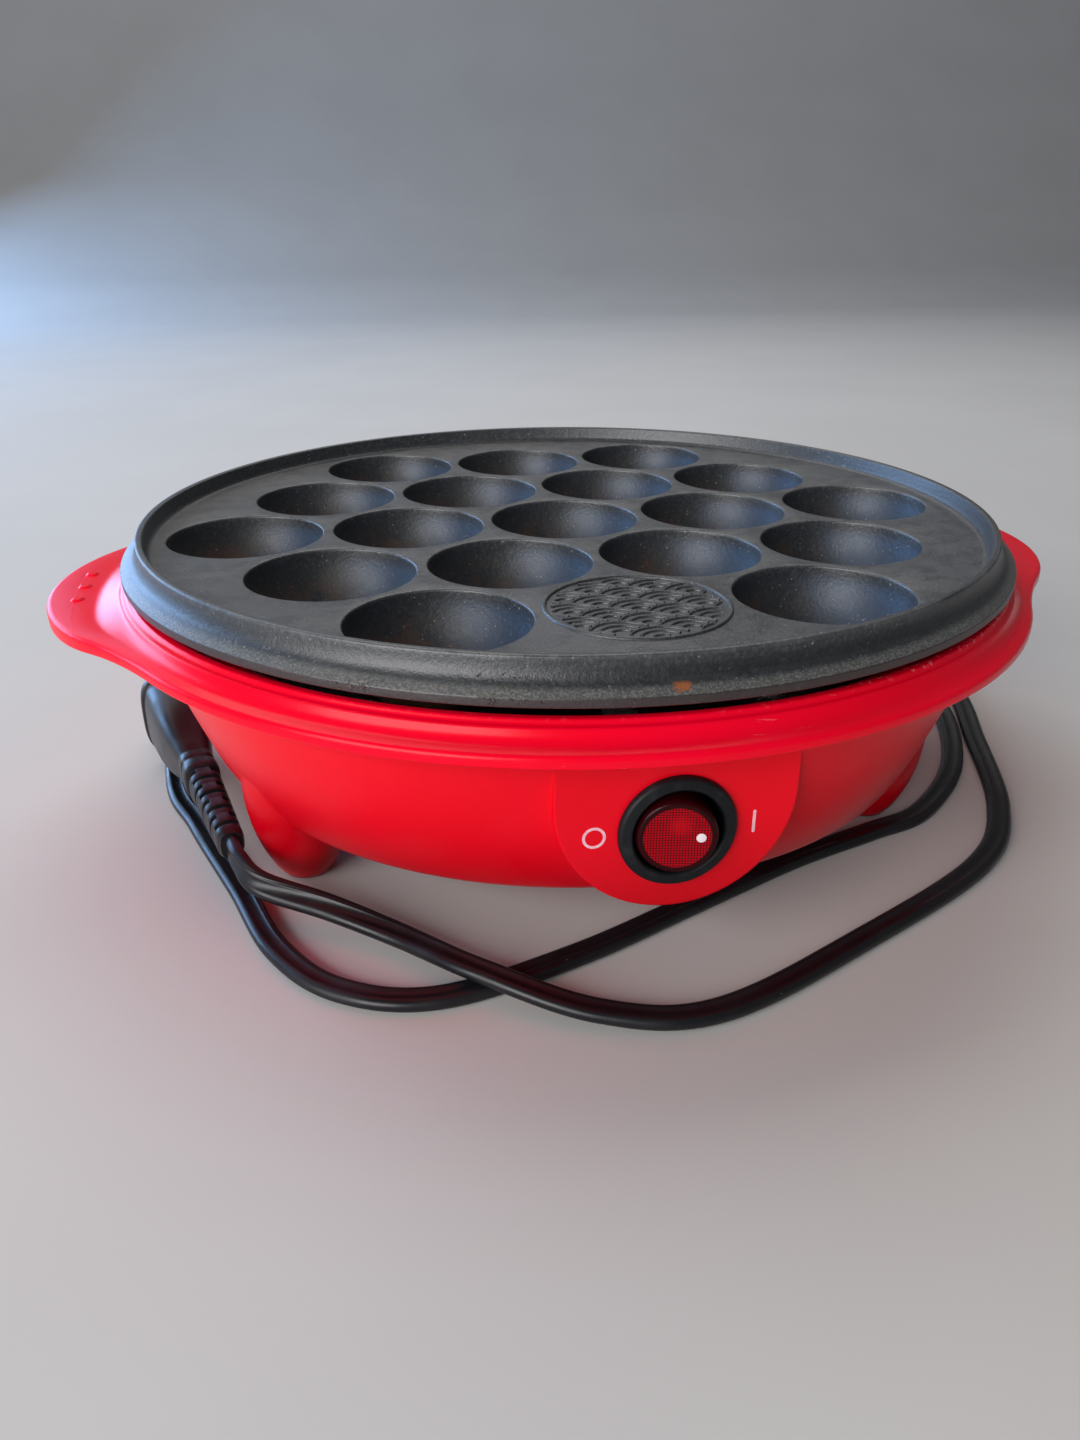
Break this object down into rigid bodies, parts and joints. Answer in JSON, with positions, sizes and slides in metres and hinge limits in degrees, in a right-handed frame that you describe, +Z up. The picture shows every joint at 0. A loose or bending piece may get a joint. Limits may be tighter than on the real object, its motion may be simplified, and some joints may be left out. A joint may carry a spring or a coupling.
{
  "type": "electric takoyaki maker",
  "caption": "Electric takoyaki maker: round cast plate of half-ball cups on a red moulded body with ear handles, round rocker switch and cord.",
  "frame": {"origin": "on the table under the plate's centre", "axes": "+Z up, -Y towards the user and the switch, X along the two ear handles"},
  "size_m": [0.2749, 0.3145, 0.0762],
  "materials": {
    "plate_coating": "satin non-stick coating",
    "rim_red": "gloss",
    "bowl_red": "fine grain",
    "screw_steel": "zinc plated",
    "pan_steel": "bright sheet",
    "heater_steel": "dark oxidised",
    "ceramic_white": "matte",
    "brass": "plain",
    "phenolic": "matte",
    "switch_black": "matte",
    "rocker_red": "translucent dark red",
    "lead_black": "matte",
    "lead_white": "matte",
    "clamp_white": "matte",
    "pad_rubber": "matte",
    "cord_black": "semi-gloss",
    "blade_metal": "nickel plated"
  },
  "bodies": {
    "base": {"rim_ring": "rim_red", "rim_screws": "screw_steel", "base_bowl": "bowl_red", "foot_pads": "pad_rubber", "reflector_pan": "pan_steel", "pan_screws": "screw_steel", "plate_posts": "screw_steel", "heating_element": "heater_steel", "heater_seals": "ceramic_white", "heater_clips": "pan_steel", "thermostat_cap": "pan_steel", "thermostat_base": "phenolic", "thermostat_blades": "brass", "thermal_fuse": "clamp_white", "fuse_strap": "pan_steel", "switch_housing": "switch_black", "switch_terminals": "brass", "line_lead": "lead_black", "switch_lead": "lead_black", "fuse_lead": "lead_white", "heater_lead": "lead_white", "neutral_lead": "lead_white", "lead_caps": "clamp_white", "cord_tail": "cord_black", "cord_clamp": "clamp_white", "clamp_screws": "screw_steel", "cord_bushing": "cord_black", "power_cord": "cord_black", "plug_body": "cord_black", "plug_sleeve": "cord_black", "plug_blades": "blade_metal"},
    "plate": {"grill_plate": "plate_coating"},
    "rocker": {"rocker": "rocker_red"},
    "lever": {"contact_lever": "brass"}
  },
  "joints": [
    {"name": "plate_lift", "type": "slide", "parent": "base", "child": "plate", "axis": [0, 0, 1], "range_m": [0, 0.08]},
    {"name": "rocker_tilt", "type": "hinge", "parent": "base", "child": "rocker", "pos_m": [0, -0.1011, 0.0382], "axis": [0, 0, 1], "range_deg": [0, 21]},
    {"name": "lever_tilt", "type": "hinge", "parent": "base", "child": "lever", "pos_m": [0, -0.0921, 0.0382], "axis": [0, 0, 1], "range_deg": [-16.8, 0]}
  ],
  "couplings": [
    {"joint": "lever_tilt", "follows": "rocker_tilt", "ratio": -0.8}
  ]
}
